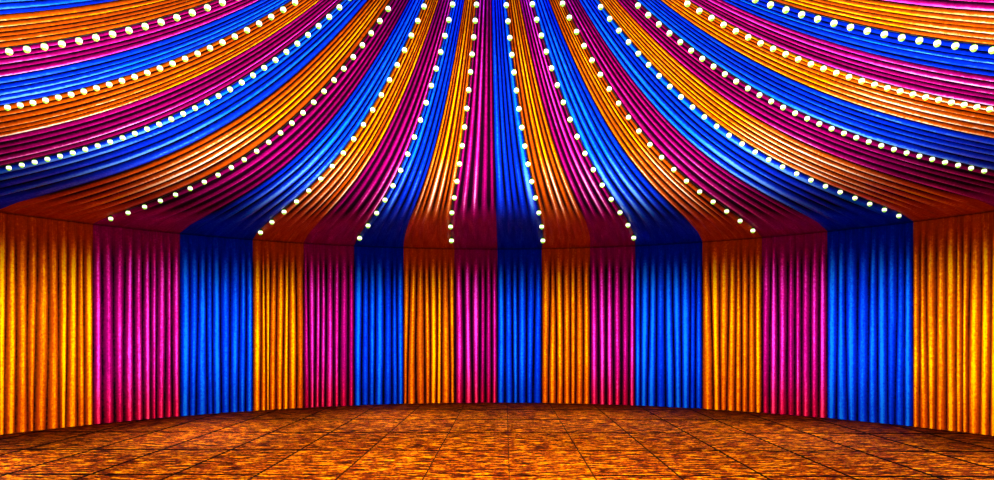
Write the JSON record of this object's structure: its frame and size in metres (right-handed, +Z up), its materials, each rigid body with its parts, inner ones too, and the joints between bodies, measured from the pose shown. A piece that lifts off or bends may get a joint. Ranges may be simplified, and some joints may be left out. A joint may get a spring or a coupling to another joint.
{
  "type": "circus big top tent",
  "caption": "Round circus tent with a sagging pleated ceiling, pleated wall curtains, strings of lights, a wooden floor, a striped canopy with a scalloped edge, and a doorway.",
  "frame": {"origin": "centre of the floor's underside, on the ground under the crown", "axes": "+Z up; the doorway faces -Y, and the wall that the picture shows is on the +Y side"},
  "size_m": [18.6, 18.6, 9.484],
  "materials": {
    "satin": "glossy pleated satin in orange, magenta and blue panels",
    "canvas": "coated canvas in orange, magenta and blue stripes",
    "pennant_cloth": "plain weave",
    "oak_boards": "varnished orange-brown floor panels with thin dark joints",
    "aluminium_frame": "extruded mill finish",
    "gilt": "gold paint",
    "light_cable": "dull cable with lamp holders"
  },
  "bodies": {
    "root": {"canopy_ne": "canvas", "canopy_nw": "canvas", "canopy_se": "canvas", "canopy_sw": "canvas", "ceiling_ne": "satin", "ceiling_nw": "satin", "ceiling_rosette": "gilt", "ceiling_se": "satin", "ceiling_sw": "satin", "crown_cap": "canvas", "crown_hub": "aluminium_frame", "curtain_ne": "satin", "curtain_nw": "satin", "curtain_se": "satin", "curtain_sw": "satin", "door_frame": "aluminium_frame", "door_header": "canvas", "door_pelmet": "satin", "eave_beam_ne": "aluminium_frame", "eave_beam_nw": "aluminium_frame", "eave_beam_se": "aluminium_frame", "eave_beam_sw": "aluminium_frame", "floor_deck": "oak_boards", "light_strings": "light_cable", "outer_wall_ne": "canvas", "outer_wall_nw": "canvas", "outer_wall_se": "canvas", "outer_wall_sw": "canvas", "pennant": "pennant_cloth", "post_1": "aluminium_frame", "post_2": "aluminium_frame", "post_3": "aluminium_frame", "post_4": "aluminium_frame", "post_5": "aluminium_frame", "post_6": "aluminium_frame", "post_7": "aluminium_frame", "post_8": "aluminium_frame", "rafter_1": "aluminium_frame", "rafter_2": "aluminium_frame", "rafter_3": "aluminium_frame", "rafter_4": "aluminium_frame", "rafter_5": "aluminium_frame", "rafter_6": "aluminium_frame", "rafter_7": "aluminium_frame", "rafter_8": "aluminium_frame"}
  },
  "joints": []
}
